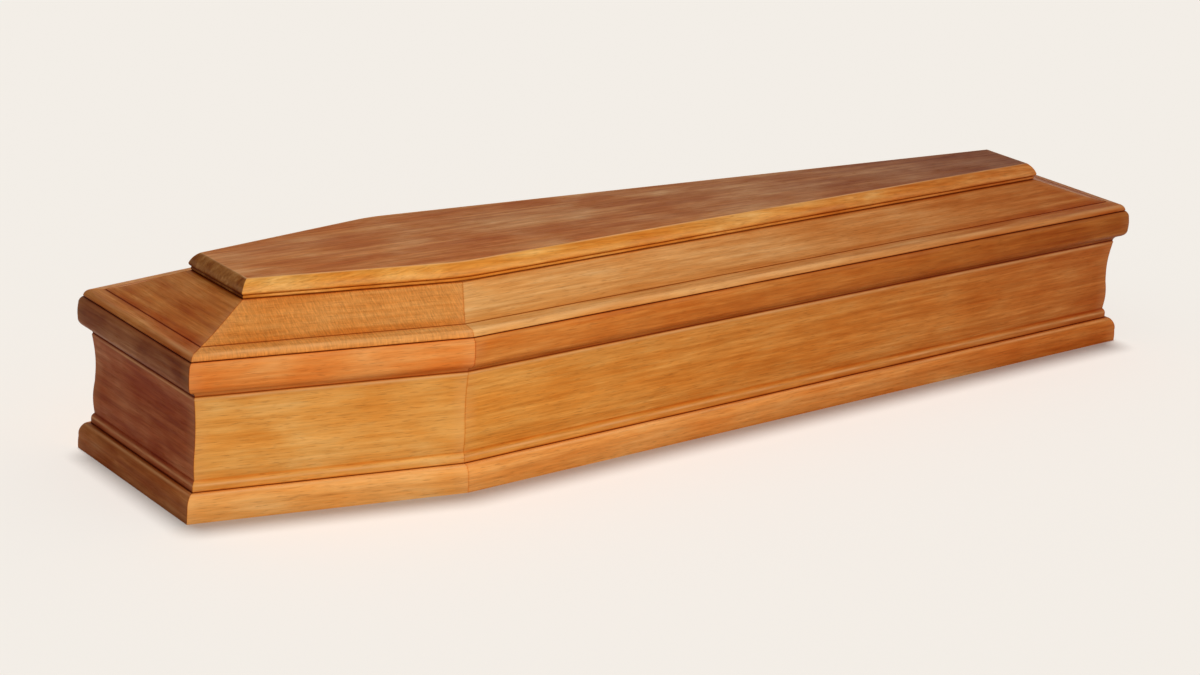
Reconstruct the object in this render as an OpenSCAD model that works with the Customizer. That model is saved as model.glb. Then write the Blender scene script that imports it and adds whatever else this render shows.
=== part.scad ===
// A shouldered wooden coffin with a raised, hipped lid.
// The box is six mitred boards round a bottom board, with a base moulding and a rim moulding.
// The lid is six mitred slope boards that carry a flat panel with a moulded edge.
// +X points to the foot end, +Y to the left side, +Z up. The origin is on the floor, in the middle.
// A profile is a closed list of [out, up] points: out is measured square from the plinth's outline.

/* [Plan] */
// Length of the plinth, head to foot
coffin_l = 2040; // [1600:10:2400]
// Width of the plinth at the head end
head_w = 378; // [320:2:460]
// Width of the plinth at the shoulders
shoulder_w = 550; // [480:2:700]
// Width of the plinth at the foot end
foot_w = 348; // [290:2:440]
// Distance from the head end to the shoulders
shoulder_at = 464; // [380:2:620]

/* [Box] */
// Height of the box, floor to lid
box_h = 262; // [240:1:420]
// Thickness of the six boards
board_t = 28; // [22:1:36]
// Thickness of the bottom board
bottom_t = 25; // [16:1:36]
// Height of the bead that runs along the foot of the boards
bead_h = 11; // [8:0.5:14]
// Depth of the groove above the bead
bead_groove = 4.5; // [3:0.5:6]
// Depth of the hollow in the boards' faces
face_hollow = 5.5; // [3:0.5:7]

/* [Base moulding] */
// Height of the base moulding
base_h = 45; // [34:1:60]
// Thickness of the base moulding
base_t = 16.5; // [14:0.5:24]

/* [Rim moulding] */
// Height of the rim moulding
rim_h = 60.5; // [48:0.5:76]
// Distance that the rim's nose stands out past the plinth
rim_out = 1; // [0:0.5:6]

/* [Lid] */
// Rise of the lid, from the box to the panel's underside
slope_rise = 54; // [46:1:80]
// Height of the lid's rounded lip
lip_h = 12; // [9:0.5:16]
// Width of the lip, from the box's edge in to the slope
lip_w = 30; // [20:1:36]
// Depth of the shallow hollow in each slope
slope_hollow = 2; // [0:0.5:4]
// Upright thickness of the slope boards, measured at the ledge's inner edge
slope_t = 20; // [15:0.5:26]
// Width of the ledge that carries the panel
ledge_w = 24; // [16:1:30]

/* [Top panel] */
// Thickness of the panel, bead and all
panel_t = 30; // [25:1:42]
// Distance from the plinth's head end in to the panel's top edge
inset_head = 160; // [130:2:200]
// Distance from the plinth in to the panel, along the short shoulder sides
inset_shoulder = 140; // [120:2:160]
// Distance from the plinth in to the panel, along the long sides
inset_side = 129; // [110:1:146]
// Distance from the plinth's foot end in to the panel's top edge
inset_foot = 171; // [140:1:220]
// Width of the panel's bevel, in plan
bevel_w = 14.8; // [10:0.2:20]
// Height of the bead under the panel's edge
neck_h = 6.8; // [4:0.2:8]
// Distance that the panel's nose stands out past that bead
nose_out = 3; // [1.5:0.5:5]
// Radius that eases the panel's edge round the shoulders
bend_r = 250; // [120:10:400]

/* [Hidden] */

// The six edges, counted round from the head end's right corner
SHOULDER_RIGHT = 0;
SIDE_RIGHT = 1;
FOOT = 2;
SIDE_LEFT = 3;
SHOULDER_LEFT = 4;
HEAD = 5;

arc_steps = 6;               // straight facets in each small arc of a profile
face_steps = 8;              // facets in each long curve of a profile
bend_steps = 4;              // facets in the panel's eased shoulder
reach = 12;                  // how far a mitre's cut runs out past what it cuts
ledge_spare = 4;             // how far a slope's mitre runs on past the ledge

wall = base_t + board_t;     // from the plinth's outline in to the inside of the box
rim_z = box_h - rim_h;       // underside of the rim moulding
rim_back = 2;                // how much deeper than the base moulding the rim moulding is let in
rim_t = base_t + rim_back;
edge_in = 5;                 // from the plinth's outline in to the joint of box and lid
panel_z = box_h + slope_rise;
top_z = panel_z + panel_t;
seat_in = 0.8;               // how far the panel's bead stands in from the nose's line
neck_w = bevel_w - nose_out - seat_in;   // from the panel's top edge out to its seat on the slopes
insets = [inset_shoulder, inset_side, inset_foot, inset_side, inset_shoulder, inset_head];

// Wood tones: the long sides are redder, the short ones more yellow, the ends in between
side_tone = "#c17a38";
shoulder_tone = "#d29645";
end_tone = "#a9602c";
panel_tone = "#a8693c";
plain_tone = "#c9a071";
tones = [shoulder_tone, side_tone, end_tone, side_tone, shoulder_tone, end_tone];

// ---- plan ----

// Corners of the plinth, right side first, round to the head end's left corner
plinth = [
    [-coffin_l / 2, -head_w / 2],
    [-coffin_l / 2 + shoulder_at, -shoulder_w / 2],
    [coffin_l / 2, -foot_w / 2],
    [coffin_l / 2, foot_w / 2],
    [-coffin_l / 2 + shoulder_at, shoulder_w / 2],
    [-coffin_l / 2, head_w / 2]
];

function wrap(i) = (i + 6) % 6;
function unit(v) = v / norm(v);
function along(i) = unit(plinth[wrap(i + 1)] - plinth[wrap(i)]);
function outward(i) = [along(i).y, -along(i).x];

// Where the edges before and after corner i meet, once each has moved out by its own distance
function corner(i, out_before, out_after) =
    let (m = outward(i - 1), n = outward(i), det = m.x * n.y - m.y * n.x)
    plinth[wrap(i)] + [out_before * n.y - out_after * m.y, out_after * m.x - out_before * n.x] / det;

// A corner at one distance all round, and a corner of the panel's outline moved out by a distance
function even_corner(i, out) = corner(i, out, out);
function panel_corner(i, out) = corner(i, out - insets[wrap(i - 1)], out - insets[wrap(i)]);

// ---- profiles ----

// Points of an arc of radius r from p to q, swelling to the right of the way from p to q.
// A negative r swells to the left. The first point p is left out.
function arc(p, q, r, steps = arc_steps) =
    let (half = norm(q - p) / 2, t = unit(q - p), side = sign(r),
        rise = sqrt(r * r - half * half),
        centre = (p + q) / 2 + side * rise * [-t.y, t.x],
        a = asin(half / abs(r)),
        from = atan2(p.y - centre.y, p.x - centre.x))
    [for (k = [1 : steps]) centre + abs(r) * [cos(from + side * 2 * a * k / steps),
        sin(from + side * 2 * a * k / steps)]];

// A swell or hollow from p to q: the line between them, moved out by s times half a sine wave
function wave(p, q, s) =
    [for (k = [1 : face_steps]) p + (q - p) * k / face_steps + [s * sin(180 * k / face_steps), 0]];

// Board: bead and groove at the foot, then a swell, a hollow and a flare up to the rim
bead_r = 12;                 // radius of the bead's round shoulder
bead_round = 2;              // height of the bead's face that the round takes
bead_z = base_h + bead_h;
groove_rise = 7;             // from the bead's top to the bottom of the groove above it
groove_z = bead_z + groove_rise;
groove_d = -base_t - bead_groove;
flare_h = 6;                 // height and radius of the flare under the rim
flare_z = rim_z - flare_h;
flare_d = -base_t - 1;
face_mid = 0.42;             // how far up the face the swell gives way to the hollow
mid_z = groove_z + (flare_z - groove_z) * face_mid;
mid_d = flare_d - face_hollow + 2;
swell_out = 2.2;             // how far the face swells in its lower part
hollow_in = 2.4;             // and how far it is hollowed in its upper part
board_profile = concat(
    [[-wall, 0], [-base_t, 0], [-base_t, bead_z - bead_round]],
    arc([-base_t, bead_z - bead_round], [groove_d, groove_z], bead_r),
    wave([groove_d, groove_z], [mid_d, mid_z], swell_out),
    wave([mid_d, mid_z], [flare_d, flare_z], -hollow_in),
    arc([flare_d, flare_z], [-rim_t, rim_z], flare_h),
    [[-rim_t, box_h], [-wall, box_h]]);

// Base moulding: a face that swells slightly, then rounds over to a flat top
base_lean = 0.5;             // how far the face leans in before it rounds over
base_face_r = 120;
base_round_z = base_h * 0.48;
base_round_r = 26;
base_top = [-8.5, base_h - 1.2];
base_flat_d = -10.5;
base_profile = concat(
    [[-base_t, 0], [0, 0]],
    arc([0, 0], [-base_lean, base_round_z], base_face_r),
    arc([-base_lean, base_round_z], base_top, base_round_r),
    [[base_flat_d, base_h], [-base_t, base_h]]);

// Rim moulding: a small cove, a narrow flat underside and a full nose
cove_r = 13;
cove = [-10.5, rim_z + 9];
under = [-7, cove.y + 1];
nose_r = 15;                 // radius of the nose where it turns under and where it turns over
nose_face_r = 100;
nose_low = [rim_out, rim_z + 24];
nose_high = [rim_out - 0.5, box_h - 12];
rim_profile = concat(
    [[-rim_t, rim_z]],
    arc([-rim_t, rim_z], cove, -cove_r),
    [under],
    arc(under, nose_low, nose_r),
    arc(nose_low, nose_high, nose_face_r),
    arc(nose_high, [-edge_in, box_h], nose_r),
    [[-rim_t, box_h]]);

// Lip of the lid: a chamfered foot, a round, a gently rising top and a fine groove
lip_chamfer = 1.5;
lip_out = -edge_in - 0.5;
lip_r = 13;
lip_round_w = 7.5;           // width of the round, in from the lip's face
lip_top_rise = 3;            // rise of the lip's top, from the round in to the slope
groove_w = 0.8;              // half the width of the groove between lip and slope
groove_cut = 0.8;            // its depth
lip_z = box_h + lip_h + lip_top_rise;
lip_d = -edge_in - lip_w;
lip_low = [lip_out, box_h + lip_chamfer];
lip_points = concat(
    [[lip_out - lip_chamfer, box_h], lip_low],
    arc(lip_low, [lip_out - lip_round_w, box_h + lip_h], lip_r),
    [[lip_d + 2 * groove_w, lip_z - groove_cut / 2],
    [lip_d + groove_w, lip_z - groove_cut * 1.5]]);

// Height of the slope board's face, from 0 at the lip to 1 at the panel: a straight slope, less a
// hollow that follows t(1 - t)(1 - t). That is deepest, at 4/27, a third of the way up.
hollow_scale = 27 / 4;
function slope_z(t) = lip_z + (panel_z - lip_z) * t
    - slope_hollow * hollow_scale * t * (1 - t) * (1 - t);

// Slope board of edge i: lip, slope up to the panel, ledge and plain underside
function slope_profile(i) =
    let (top_d = neck_w - insets[i], fall = (panel_z - lip_z) / (lip_d - top_d),
        in_d = top_d - ledge_w)
    concat(
        lip_points,
        [for (k = [0 : face_steps])
            [lip_d + (top_d - lip_d) * k / face_steps, slope_z(k / face_steps)]],
        [[in_d, panel_z], [in_d, panel_z + ledge_w * fall - slope_t], [-wall, box_h]]);

// Edge of the panel, measured from its top edge: bead, nose and a slightly swelling bevel
bead_in = 1.5;               // how far the bead's foot stands in from its seat's edge
bead_swell = 0.54;           // the bead's radius, as a share of its height
quirk = [bevel_w - 1.8, panel_z + neck_h + 0.6];
edge_nose_r = 5;
edge_nose = [bevel_w, quirk.y + 4];
bevel_r = 36;
neck_foot = [neck_w - bead_in, panel_z];
neck_top = [neck_w - bead_in, panel_z + neck_h];
panel_moulding = concat(
    [neck_foot],
    arc(neck_foot, neck_top, neck_h * bead_swell),
    [quirk],
    arc(quirk, edge_nose, edge_nose_r),
    arc(edge_nose, [0, top_z], bevel_r));

// ---- solids ----

// A profile drawn along the way from one point to another, and on past each by spare
module run(profile, from, to, spare) {
    way = to - from;
    translate([from.x, from.y, 0])
        rotate([0, 0, atan2(way.y, way.x)])
            translate([-spare, 0, 0])
                rotate([90, 0, 90])
                    linear_extrude(norm(way) + 2 * spare)
                        polygon([for (p = profile) [-p.x, p.y]]);
}

// The run on edge i between two mitres, each a list of plan points from outside to inside
module mitred(i, mitre_a, mitre_b, profile) {
    intersection() {
        run(profile, plinth[wrap(i)], plinth[wrap(i + 1)], wall + reach);
        linear_extrude(top_z)
            polygon(concat(mitre_a, [for (k = [len(mitre_b) - 1 : -1 : 0]) mitre_b[k]]));
    }
}

function straight_mitre(i) = [even_corner(i, reach), even_corner(i, -wall - reach)];
function hip_mitre(i) = [even_corner(i, reach), even_corner(i, lip_d),
    panel_corner(i, neck_w), panel_corner(i, neck_w - ledge_w - ledge_spare)];

module bottom_board() {
    color(plain_tone)
        linear_extrude(bottom_t)
            polygon([for (i = [0 : 5]) even_corner(i, -wall)]);
}

module board(i) {
    color(tones[i]) mitred(i, straight_mitre(i), straight_mitre(i + 1), board_profile);
}

module base_moulding(i) {
    color(tones[i]) mitred(i, straight_mitre(i), straight_mitre(i + 1), base_profile);
}

module rim_moulding(i) {
    color(tones[i]) mitred(i, straight_mitre(i), straight_mitre(i + 1), rim_profile);
}

module lid_slope(i) {
    color(tones[i]) mitred(i, hip_mitre(i), hip_mitre(i + 1), slope_profile(i));
}

// Corners of the panel's top edge: the shoulders are eased by a few points of an arc
function panel_points(i) =
    let (c = panel_corner(i, 0), n = outward(i - 1), m = outward(i),
        turn = acos(n * m), back = bend_r * tan(turn / 2))
    (i == SIDE_RIGHT || i == SHOULDER_LEFT)
        ? [for (k = [0 : bend_steps])
            let (a = turn * k / bend_steps)
            c - along(i - 1) * back - n * bend_r
                + bend_r * [n.x * cos(a) - n.y * sin(a), n.x * sin(a) + n.y * cos(a)]]
        : [c];
panel_edge = [for (i = [0 : 5]) each panel_points(i)];

// The panel is what all its edge's runs share. Each run reaches inwards past the whole panel.
module lid_top_panel() {
    half = concat([[-coffin_l, panel_z]], panel_moulding, [[-coffin_l, top_z]]);
    color(panel_tone)
        intersection_for (k = [0 : len(panel_edge) - 1])
            run(half, panel_edge[k], panel_edge[(k + 1) % len(panel_edge)], coffin_l);
}

bottom_board();

board(SHOULDER_RIGHT);  // shoulder_board_right
board(SIDE_RIGHT);  // side_board_right
board(FOOT);  // foot_board
board(SIDE_LEFT);  // side_board_left
board(SHOULDER_LEFT);  // shoulder_board_left
board(HEAD);  // head_board

base_moulding(SHOULDER_RIGHT);  // base_moulding_shoulder_right
base_moulding(SIDE_RIGHT);  // base_moulding_side_right
base_moulding(FOOT);  // base_moulding_foot
base_moulding(SIDE_LEFT);  // base_moulding_side_left
base_moulding(SHOULDER_LEFT);  // base_moulding_shoulder_left
base_moulding(HEAD);  // base_moulding_head

rim_moulding(SHOULDER_RIGHT);  // rim_moulding_shoulder_right
rim_moulding(SIDE_RIGHT);  // rim_moulding_side_right
rim_moulding(FOOT);  // rim_moulding_foot
rim_moulding(SIDE_LEFT);  // rim_moulding_side_left
rim_moulding(SHOULDER_LEFT);  // rim_moulding_shoulder_left
rim_moulding(HEAD);  // rim_moulding_head

lid_slope(SHOULDER_RIGHT);  // lid_slope_shoulder_right
lid_slope(SIDE_RIGHT);  // lid_slope_side_right
lid_slope(FOOT);  // lid_slope_foot
lid_slope(SIDE_LEFT);  // lid_slope_side_left
lid_slope(SHOULDER_LEFT);  // lid_slope_shoulder_left
lid_slope(HEAD);  // lid_slope_head

lid_top_panel();
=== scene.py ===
"""A varnished wooden coffin with moulded base and rim and a raised, hipped lid.

Laid out as an add-on: the sizes and colours are scene properties, each kind of piece has an operator,
and a panel in the 3D view's sidebar lists them. Lengths are in metres. The coffin lies along X with
its foot end at +X, its right side at -Y and its underside at Z 0.
"""

import math

import bpy
import numpy as np
from bpy.props import FloatProperty, FloatVectorProperty, PointerProperty
from bpy.types import Operator, Panel, PropertyGroup
from mathutils import Matrix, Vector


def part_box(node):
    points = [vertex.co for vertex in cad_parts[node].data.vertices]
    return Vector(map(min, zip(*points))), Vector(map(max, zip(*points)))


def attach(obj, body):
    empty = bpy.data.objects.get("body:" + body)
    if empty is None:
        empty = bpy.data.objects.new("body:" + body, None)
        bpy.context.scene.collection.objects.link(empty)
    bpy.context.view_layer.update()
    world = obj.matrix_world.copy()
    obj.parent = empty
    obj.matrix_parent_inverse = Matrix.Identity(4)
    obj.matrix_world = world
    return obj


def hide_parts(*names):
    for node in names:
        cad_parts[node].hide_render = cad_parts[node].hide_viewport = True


bl_info = {
    "name": "Wooden coffin",
    "version": (1, 0, 0),
    "blender": (4, 5, 0),
    "location": "View3D > Sidebar > Coffin",
    "description": "Builds a varnished wooden coffin board by board",
    "category": "Object",
}

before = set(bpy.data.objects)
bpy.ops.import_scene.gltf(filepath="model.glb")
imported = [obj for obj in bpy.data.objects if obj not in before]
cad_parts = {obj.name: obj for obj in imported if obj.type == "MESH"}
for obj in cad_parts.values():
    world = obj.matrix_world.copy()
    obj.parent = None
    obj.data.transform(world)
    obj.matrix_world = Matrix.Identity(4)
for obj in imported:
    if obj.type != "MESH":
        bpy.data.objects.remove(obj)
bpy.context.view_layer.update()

MM = 0.001
EDGES = ("shoulder_right", "side_right", "foot", "side_left", "shoulder_left", "head")
BOARDS = ("shoulder_board_right", "side_board_right", "foot_board",
          "side_board_left", "shoulder_board_left", "head_board")
LENGTHS = {"shoulder": "short", "side": "long", "head": "end", "foot": "end"}
RIGHT_SHOULDER = 1
LEFT_SHOULDER = 4


def lowest(node, axis):
    """The lowest coordinate of a CAD node along an axis: 0 for X, 1 for Y, 2 for Z."""
    return float(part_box(node)[0][axis])


def highest(node, axis):
    """The highest coordinate of a CAD node along an axis."""
    return float(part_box(node)[1][axis])


def length_of(label, description, default):
    """A length property in metres."""
    return FloatProperty(name=label, description=description, default=default, min=0.0,
                         precision=4, subtype="DISTANCE", unit="LENGTH")


def share_of(label, description, default, top=1.0):
    """A plain number property from 0 to top."""
    return FloatProperty(name=label, description=description, default=default, min=0.0, max=top)


def colour_of(label, description, default):
    """A linear colour property."""
    return FloatVectorProperty(name=label, description=description, default=default, size=3,
                               min=0.0, max=1.0, subtype="COLOR")


class CoffinSizes(PropertyGroup):
    """Driving sizes of the coffin; the heights come from the frame's own nodes."""

    length: length_of("Length", "Length of the plinth, head to foot", 2.04)
    head_width: length_of("Head width", "Width of the plinth at the head end", 0.378)
    shoulder_width: length_of("Shoulder width", "Width of the plinth at the shoulders", 0.55)
    foot_width: length_of("Foot width", "Width of the plinth at the foot end", 0.348)
    shoulder_at: length_of("Shoulders at", "Distance from the head end to the shoulders", 0.464)
    box_height: length_of("Box height", "Floor to the lid's joint", highest("head_board", 2))
    board: length_of("Board", "Thickness of the box boards",
                     highest("head_board", 0) - lowest("head_board", 0))
    bottom: length_of("Bottom board", "Thickness of the bottom board", highest("bottom_board", 2))
    base_height: length_of("Base moulding", "Height of the base moulding",
                           highest("base_moulding_head", 2))
    base_thickness: length_of("Base thickness", "Thickness of the base moulding", 0.0165)
    bead_height: length_of("Foot bead", "Height of the bead along the foot of the boards", 0.011)
    bead_groove: length_of("Bead groove", "Depth of the groove above the bead", 0.0045)
    face_hollow: length_of("Hollow", "Depth of the hollow in the boards' faces", 0.0055)
    rim_low: length_of("Rim underside", "Height of the rim moulding's underside",
                       lowest("rim_moulding_head", 2))
    rim_out: length_of("Rim nose", "How far the rim's nose stands out past the plinth", 0.001)
    panel_low: length_of("Panel underside", "Height of the top panel's underside",
                         lowest("lid_top_panel", 2))
    panel_high: length_of("Panel top", "Height of the top panel's face", highest("lid_top_panel", 2))
    lip_height: length_of("Lip height", "Height of the lid's rounded lip", 0.012)
    lip_width: length_of("Lip width", "Width of the lip, in to the slope", 0.030)
    slope_hollow: length_of("Slope hollow", "Depth of the shallow hollow in each slope", 0.002)
    slope_thickness: length_of("Slope board", "Upright thickness of the slope boards", 0.020)
    ledge: length_of("Ledge", "Width of the ledge that carries the panel", 0.024)
    inset_head: length_of("Head inset", "Head end of the plinth in to the panel", 0.160)
    inset_shoulder: length_of("Shoulder inset", "Short sides of the plinth in to the panel", 0.140)
    inset_side: length_of("Side inset", "Long sides of the plinth in to the panel", 0.129)
    inset_foot: length_of("Foot inset", "Foot end of the plinth in to the panel", 0.171)
    bevel_width: length_of("Bevel", "Width of the panel's bevel, in plan", 0.0148)
    neck_height: length_of("Panel bead", "Height of the bead under the panel's edge", 0.0068)
    nose_out: length_of("Panel nose", "How far the panel's nose stands out past its bead", 0.003)
    bend_radius: length_of("Shoulder bend", "Radius of the panel's edge at the shoulders", 0.250)
    ease: length_of("Eased mitre", "How much each mitre's edge is rubbed down", 0.0006)
    waviness: length_of("Waviness", "How far a planed face strays from true", 0.00025)
    mesh_step: length_of("Mesh step", "Distance between the rings of a board's mesh", 0.022)


class CoffinColours(PropertyGroup):
    """Colours of the varnished wood, in linear light, and how strongly its figure shows."""

    short_board: colour_of("Short board", "Box boards at the shoulders", (0.75, 0.33, 0.07))
    long_board: colour_of("Long board", "Long box boards, near the head", (0.75, 0.31, 0.05))
    # Painted shade: the foot tones here and below are darker partly to stand in for the light falling
    # off towards the foot.
    long_board_foot: colour_of("Long board, foot", "Long box boards at the foot", (0.47, 0.12, 0.02))
    # Painted shade: the end tones here and below are darker partly to stand in for the shade on the
    # coffin's ends.
    end_board: colour_of("End board", "Box boards of the two ends", (0.36, 0.08, 0.02))
    short_base: colour_of("Short base", "Base moulding at the shoulders", (0.82, 0.36, 0.09))
    long_base: colour_of("Long base", "Base moulding near the head", (0.84, 0.35, 0.08))
    long_base_foot: colour_of("Long base, foot", "Base moulding at the foot", (0.55, 0.14, 0.02))
    end_base: colour_of("End base", "Base moulding of the two ends", (0.36, 0.10, 0.02))
    short_rim: colour_of("Short rim", "Rim moulding at the shoulders", (0.72, 0.22, 0.04))
    long_rim: colour_of("Long rim", "Rim moulding near the head", (0.66, 0.20, 0.03))
    long_rim_foot: colour_of("Long rim, foot", "Rim moulding at the foot", (0.34, 0.08, 0.01))
    end_rim: colour_of("End rim", "Rim moulding of the two ends", (0.22, 0.05, 0.01))
    short_slope: colour_of("Short slope", "Lid slopes at the shoulders", (0.68, 0.25, 0.05))
    long_slope: colour_of("Long slope", "Long lid slopes, near the head", (0.80, 0.40, 0.12))
    long_slope_foot: colour_of("Long slope, foot", "Long lid slopes at the foot", (0.46, 0.12, 0.02))
    end_slope: colour_of("End slope", "Lid slopes of the two ends", (0.45, 0.13, 0.02))
    # Painted shade and light: the panel's top tone is darker and the bevel's lighter, partly for how
    # each face meets the light.
    panel: colour_of("Panel", "Top panel, near the head", (0.54, 0.18, 0.04))
    # Painted shade: panel_foot and bevel_foot are darker partly to stand in for the light falling off
    # towards the foot.
    panel_foot: colour_of("Panel, foot", "Top panel at the foot", (0.18, 0.04, 0.01))
    bevel: colour_of("Bevel", "Long edges of the top panel", (0.70, 0.29, 0.05))
    bevel_foot: colour_of("Bevel, foot", "The same edges at the foot", (0.50, 0.12, 0.02))
    # Painted shade: the end bevel is darker partly to stand in for the shade on the panel's end edges.
    end_bevel: colour_of("End bevel", "End edges of the top panel", (0.27, 0.085, 0.014))
    plain: colour_of("Plain", "Bare wood of the bottom board", (0.55, 0.36, 0.19))
    pore: colour_of("Pore colour", "Dark colour in the open pores", (0.16, 0.040, 0.008))
    # Painted shade: the joint colour also darkens recesses under the rim, under the panel's nose and in
    # grooves.
    joint_and_shade: colour_of("Joints", "Varnish gathered in the joints and grooves", (0.085, 0.014, 0.002))
    # Painted highlight: the rub colour also paints highlights along proud edges and beside the mitres,
    # besides rubbed wood.
    rub_and_highlight: colour_of("Rubbed edges", "Pale wood where edges are rubbed", (0.85, 0.47, 0.20))
    streaks: share_of("Streaks", "Strength of the long streaks", 1.0, 2.0)
    pores: share_of("Pores", "Strength of the dark pores", 0.28, 2.0)


class CoffinStage(PropertyGroup):
    """Floor, lights and camera."""

    floor: colour_of("Floor", "Colour of the floor as the camera sees it", (0.905, 0.863, 0.807))
    key: share_of("Key light", "Power of the large soft light in front, in watts", 58.0, 5000.0)
    fill: share_of("Fill light", "Power of the weak light at the head end, in watts", 5.0, 5000.0)
    back: share_of("Back light", "Power of the low light behind, in watts", 28.0, 5000.0)
    overhead: share_of("Overhead light", "Strength of the light that only the floor takes", 2.38, 50.0)
    sky: share_of("Sky", "Strength of the even light from all round", 0.24, 5.0)
    floor_own: share_of("Floor's own", "Share of its colour that the camera sees without light", 0.12)
    bounce: share_of("Bounce", "Share of its colour that the floor throws back at the coffin", 0.62)
    turn: FloatProperty(name="Turn", description="Camera's heading from +Y towards +X",
                        default=math.radians(36.637), subtype="ANGLE")
    dip: FloatProperty(name="Dip", description="Camera's angle below the horizon",
                       default=math.radians(18.263), subtype="ANGLE")
    roll: FloatProperty(name="Roll", description="Camera's tilt about its own axis",
                        default=math.radians(3.549), subtype="ANGLE")
    lens: FloatProperty(name="Lens", description="Focal length in millimetres for a 36 mm frame",
                        default=85.68)


# ---- plan: the six-sided outline ----


def plinth_corners(s):
    """The plinth's six corners in plan, from the head end's right corner round past the foot."""
    head = -s.length / 2
    right = np.array([[head, -s.head_width / 2],
                      [head + s.shoulder_at, -s.shoulder_width / 2],
                      [s.length / 2, -s.foot_width / 2]])
    return np.vstack([right, right[::-1] * [1, -1]])


def edge_ways(corners):
    """Unit direction of each edge, from its corner to the next."""
    ways = np.roll(corners, -1, axis=0) - corners
    return ways / np.linalg.norm(ways, axis=1, keepdims=True)


def edge_normals(corners):
    """Unit outward normal of each edge: its direction turned a quarter to the right."""
    ways = edge_ways(corners)
    return np.stack([ways[:, 1], -ways[:, 0]], axis=1)


def moved_corner(corners, i, before, after):
    """Where the edges before and after corner i meet once each has moved out by its own distance.

    It solves (p - corner) . m = before and (p - corner) . n = after for the edges' normals m and n.
    """
    normals = edge_normals(corners)
    m, n = normals[i - 1], normals[i % len(corners)]
    det = m[0] * n[1] - m[1] * n[0]
    before = np.asarray(before, dtype=float)[..., None]
    after = np.asarray(after, dtype=float)[..., None]
    shift = before * [n[1], -n[0]] + after * [-m[1], m[0]]
    return corners[i % len(corners)] + shift / det


def insets(s):
    """Distance from each edge of the plinth in to the panel's top edge."""
    return np.array([s.inset_shoulder, s.inset_side, s.inset_foot,
                     s.inset_side, s.inset_shoulder, s.inset_head])


def panel_corner(s, corners, i, out):
    """A corner of the panel's outline, moved out by a distance on both edges."""
    inset = insets(s)
    out = np.asarray(out, dtype=float)
    return moved_corner(corners, i, out - inset[(i - 1) % 6], out - inset[i % 6])


# ---- profiles: closed lists of (out, up), out measured square from the plinth's outline ----


def arc(p, q, radius, steps=8):
    """Points of an arc of a radius from p to q, p left out, swelling to the right of the way from p.

    A negative radius swells to the left. The centre lies on the chord's upright bisector.
    """
    p, q = np.array(p, dtype=float), np.array(q, dtype=float)
    half = np.linalg.norm(q - p) / 2
    way = (q - p) / (2 * half)
    side = math.copysign(1.0, radius)
    centre = (p + q) / 2 + side * math.sqrt(radius**2 - half**2) * np.array([-way[1], way[0]])
    start = math.atan2(p[1] - centre[1], p[0] - centre[0])
    turn = start + side * 2 * math.asin(half / abs(radius)) * np.arange(1, steps + 1) / steps
    return centre + abs(radius) * np.stack([np.cos(turn), np.sin(turn)], axis=1)


def wave(p, q, swell, steps=20):
    """Points of a line from p to q, p left out, moved out by half a sine wave of height swell."""
    share = np.arange(1, steps + 1)[:, None] / steps
    points = np.array(p) + (np.array(q) - np.array(p)) * share
    points[:, 0] += swell * np.sin(np.pi * share[:, 0])
    return points


def refined(profile, quirks, coarse=5 * MM, fine=0.8 * MM, near=4 * MM):
    """The same closed profile with points about every coarse step, and every fine step near a quirk."""
    ring = np.vstack([profile, profile[:1]])
    run = np.concatenate([[0], np.cumsum(np.linalg.norm(np.diff(ring, axis=0), axis=1))])
    extra = np.arange(0, run[-1], fine)
    place = np.stack([np.interp(extra, run, ring[:, 0]), np.interp(extra, run, ring[:, 1])], axis=1)
    to_quirk = np.linalg.norm(place[:, None] - quirks[None, :, :2], axis=2).min(axis=1)
    wanted = (to_quirk < near) | (np.arange(len(extra)) % round(coarse / fine) == 0)
    clear = np.abs(extra[:, None] - run[None, :]).min(axis=1) > fine / 3
    at = np.union1d(run, extra[wanted & clear])[:-1]
    return np.stack([np.interp(at, run, ring[:, 0]), np.interp(at, run, ring[:, 1])], axis=1)


EDGE_IN = 5 * MM         # from the plinth's outline in to the joint of box and lid
RIM_BACK = 2 * MM        # how much deeper than the base moulding the rim moulding is let in
GROOVE_RISE = 7 * MM     # from the bead's top to the bottom of the groove above it
FLARE = 6 * MM           # height and radius of the boards' flare under the rim
COVE = 9 * MM            # height of the cove under the rim's nose
LIP_RISE = 3 * MM        # rise of the lip's top, from its round in to the slope
SEAT_IN = 0.8 * MM       # how far the panel's bead stands in from the nose's line
QUIRK_LIFT = 0.6 * MM    # rise of the quirk between the panel's bead and its nose
UNDERCUT = 7 * MM        # how far the cut behind a hip's edge is hollowed out
UNDERCUT_IN = 0.4 * MM   # how far that hollow's ring lies under the face
MITRE_LINE = 1.4 * MM    # reach of the varnish gathered at a mitre
MITRE_DARK = 0.25        # and its depth of colour
MITRE_WEAR_SHINE_AT = 3 * MM    # distance from a mitre at which the wood beside it is rubbed and carries a painted highlight most
MITRE_WEAR_SHINE_REACH = 2.5 * MM     # reach of that rubbing and painted highlight
MITRE_WEAR_SHINE = 0.3         # and its strength
TRUE_FOOT = 2 * MM       # up to this height a face has no waviness, so that it stands true
WAVE_RISE = 4 * MM       # height over which the waviness then grows to its full depth
GRAIN_STEP = np.array([3.7, 1.31, 0.77])    # how far one run's grain lies from the next one's


def wall(s):
    """From the plinth's outline in to the inside of the box."""
    return s.base_thickness + s.board


def groove_bottom(s):
    """(out, up) of the bottom of the groove above the boards' bead."""
    return -s.base_thickness - s.bead_groove, s.base_height + s.bead_height + GROOVE_RISE


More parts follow.
